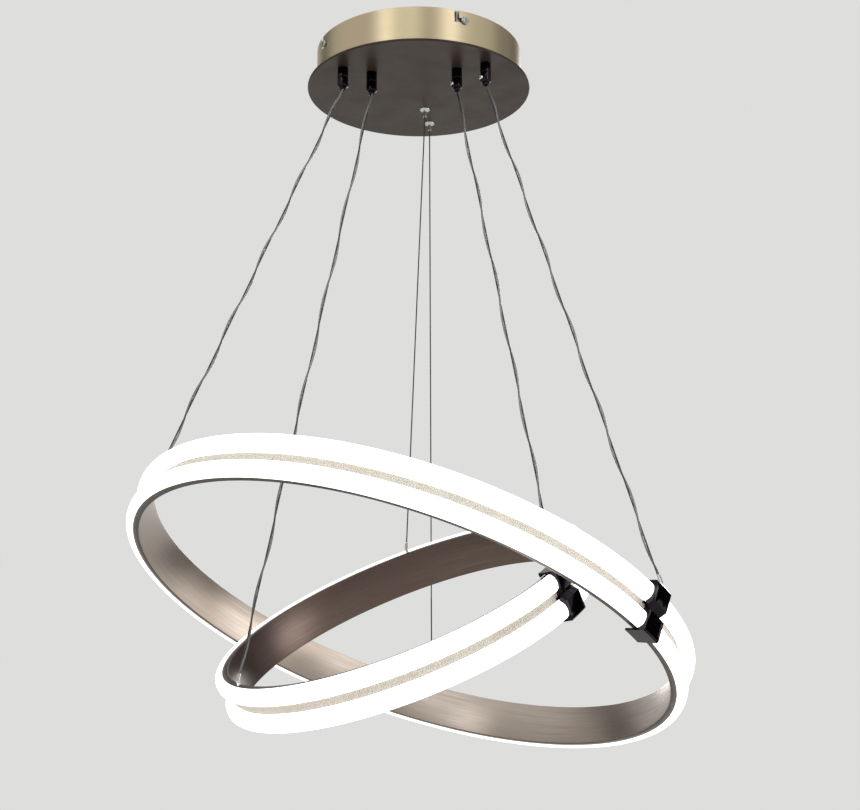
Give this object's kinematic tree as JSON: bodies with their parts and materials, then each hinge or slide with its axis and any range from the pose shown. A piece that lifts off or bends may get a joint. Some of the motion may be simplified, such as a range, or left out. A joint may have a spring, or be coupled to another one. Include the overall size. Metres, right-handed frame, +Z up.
{
  "type": "ring chandelier",
  "caption": "Ceiling chandelier: tilted light rings, each a channel with half-round opal lenses, hung on thin ropes from a round canopy with a bayonet lock.",
  "frame": {"origin": "centre of the ceiling bracket's top face, on the ceiling", "axes": "+Z up, out of the ceiling; +X to the right and +Y away as seen in the picture"},
  "size_m": [0.5724, 0.5836, 0.7564],
  "materials": {
    "zinc_steel": "zinc plated",
    "white_moulding": "moulded",
    "brushed_brass": "brushed and aged",
    "bronze_paint": "satin",
    "bright_chrome": "polished",
    "black_chrome": "polished",
    "steel_rope": "stranded",
    "clear_cord": "clear sheath",
    "big_channel": "brushed",
    "small_channel": "brushed",
    "opal_lens": "opal",
    "cream_strip": "ribbed",
    "light_board": "lacquered"
  },
  "bodies": {
    "bracket": {"ceiling_bracket": "zinc_steel", "bracket_lock_screws": "zinc_steel", "terminal_block": "white_moulding"},
    "canopy": {"canopy_shell": "brushed_brass", "canopy_plate": "bronze_paint", "driver_big_ring": "white_moulding", "driver_small_ring": "white_moulding", "rope_outlets": "bright_chrome", "stud_nuts": "zinc_steel", "gripper_a_body": "black_chrome", "gripper_b_body": "black_chrome", "gripper_c_body": "black_chrome", "gripper_d_body": "black_chrome", "rope_a": "steel_rope", "rope_b": "steel_rope", "rope_c": "steel_rope", "rope_d": "steel_rope", "rope_e": "steel_rope", "rope_f": "steel_rope", "feed_cord_a": "clear_cord", "feed_cord_b": "clear_cord", "feed_cord_c": "clear_cord", "feed_cord_d": "clear_cord"},
    "nozzle_a": {"gripper_a_nozzle": "black_chrome"},
    "lock_pin_a": {"gripper_a_lock_pin": "bright_chrome"},
    "nozzle_b": {"gripper_b_nozzle": "black_chrome"},
    "lock_pin_b": {"gripper_b_lock_pin": "bright_chrome"},
    "nozzle_c": {"gripper_c_nozzle": "black_chrome"},
    "lock_pin_c": {"gripper_c_lock_pin": "bright_chrome"},
    "nozzle_d": {"gripper_d_nozzle": "black_chrome"},
    "lock_pin_d": {"gripper_d_lock_pin": "bright_chrome"},
    "big_ring": {"big_ring_channel": "big_channel", "big_ring_lens_upper": "opal_lens", "big_ring_lens_lower": "opal_lens", "big_ring_groove_strip": "cream_strip", "big_ring_light_boards": "light_board", "big_ring_clamp": "black_chrome", "big_ring_hangers": "black_chrome"},
    "small_ring": {"small_ring_channel": "small_channel", "small_ring_lens_upper": "opal_lens", "small_ring_lens_lower": "opal_lens", "small_ring_groove_strip": "cream_strip", "small_ring_light_boards": "light_board", "small_ring_clamp": "black_chrome", "small_ring_hangers": "black_chrome"}
  },
  "joints": [
    {"name": "canopy_twist", "type": "hinge", "parent": "bracket", "child": "canopy", "pos_m": [0, 0, 0], "axis": [0, 0, 1], "range_deg": [0, 4.5]},
    {"name": "big_ring_height", "type": "slide", "parent": "canopy", "child": "big_ring", "axis": [0, 0, 1], "range_m": [0, 0.12], "deforming": ["rope_a", "feed_cord_a", "rope_d", "feed_cord_d", "rope_f"]},
    {"name": "small_ring_height", "type": "slide", "parent": "canopy", "child": "small_ring", "axis": [0, 0, 1], "range_m": [0, 0.12], "deforming": ["rope_b", "feed_cord_b", "rope_c", "feed_cord_c", "rope_e"]},
    {"name": "nozzle_a_press", "type": "slide", "parent": "canopy", "child": "nozzle_a", "axis": [0, 0, 1], "range_m": [0, 0.0025], "stiffness_N_per_m": 300, "springref_m": -0.002},
    {"name": "lock_pin_a_turn", "type": "hinge", "parent": "canopy", "child": "lock_pin_a", "pos_m": [-0.0811, -0.05678, -0.0625], "axis": [0.5, 0.866, 0], "continuous": true},
    {"name": "nozzle_b_press", "type": "slide", "parent": "canopy", "child": "nozzle_b", "axis": [0, 0, 1], "range_m": [0, 0.0025], "stiffness_N_per_m": 300, "springref_m": -0.002},
    {"name": "lock_pin_b_turn", "type": "hinge", "parent": "canopy", "child": "lock_pin_b", "pos_m": [-0.05053, -0.0455, -0.0625], "axis": [0.5, 0.866, 0], "continuous": true},
    {"name": "nozzle_c_press", "type": "slide", "parent": "canopy", "child": "nozzle_c", "axis": [0, 0, 1], "range_m": [0, 0.0025], "stiffness_N_per_m": 300, "springref_m": -0.002},
    {"name": "lock_pin_c_turn", "type": "hinge", "parent": "canopy", "child": "lock_pin_c", "pos_m": [0.0414, -0.05395, -0.0625], "axis": [-0.766, -0.6428, 0], "continuous": true},
    {"name": "nozzle_d_press", "type": "slide", "parent": "canopy", "child": "nozzle_d", "axis": [0, 0, 1], "range_m": [0, 0.0025], "stiffness_N_per_m": 300, "springref_m": -0.002},
    {"name": "lock_pin_d_turn", "type": "hinge", "parent": "canopy", "child": "lock_pin_d", "pos_m": [0.07181, -0.06815, -0.0625], "axis": [-0.766, -0.6428, 0], "continuous": true}
  ]
}
